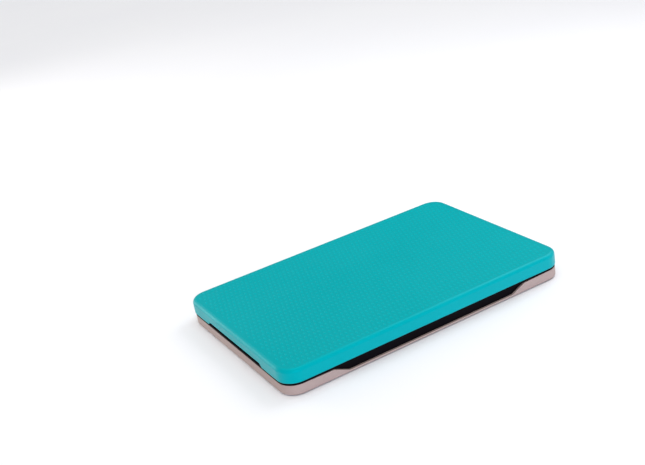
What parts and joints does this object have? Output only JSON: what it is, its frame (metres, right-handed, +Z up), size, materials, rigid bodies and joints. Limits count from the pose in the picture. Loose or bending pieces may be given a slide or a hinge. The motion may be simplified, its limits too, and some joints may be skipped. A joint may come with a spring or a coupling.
{
  "type": "wet palette",
  "caption": "Flat rectangular painter's wet palette: rounded lift-off lid over a dark tray in a shallow base shell, holding a damp sponge, a membrane sheet and a strip of mixing wells.",
  "frame": {"origin": "on the table plane under the middle of the palette's footprint", "axes": "+X along the length towards the end with the strip of wells, -Y the front long side, +Z up"},
  "size_m": [0.24, 0.16, 0.0207],
  "materials": {
    "teal_plastic": "satin, finely textured top",
    "taupe_plastic": "fine matt",
    "black_plastic": "satin",
    "seal_silicone": "soft matt silicone",
    "foot_rubber": "matt rubber",
    "sponge_cellulose": "damp open-pored sponge",
    "membrane_paper": "translucent parchment",
    "white_plastic": "glossy wipe-clean"
  },
  "bodies": {
    "base": {"base_shell": "taupe_plastic", "inner_tray": "black_plastic", "foot_front_left": "foot_rubber", "foot_front_right": "foot_rubber", "foot_rear_left": "foot_rubber", "foot_rear_right": "foot_rubber"},
    "sponge": {"sponge": "sponge_cellulose"},
    "sheet": {"membrane_sheet": "membrane_paper"},
    "strip": {"well_strip": "white_plastic"},
    "lid": {"lid_shell": "teal_plastic", "lid_seal": "seal_silicone"}
  },
  "joints": [
    {"name": "sponge_lift", "type": "slide", "parent": "base", "child": "sponge", "axis": [0, 0, 1], "range_m": [0, 0.03]},
    {"name": "sheet_lift", "type": "slide", "parent": "sponge", "child": "sheet", "axis": [0, 0, 1], "range_m": [0, 0.03]},
    {"name": "strip_lift", "type": "slide", "parent": "sheet", "child": "strip", "axis": [0, 0, 1], "range_m": [0, 0.03]},
    {"name": "lid_lift", "type": "slide", "parent": "strip", "child": "lid", "axis": [0, 0, 1], "range_m": [0, 0.1]}
  ]
}
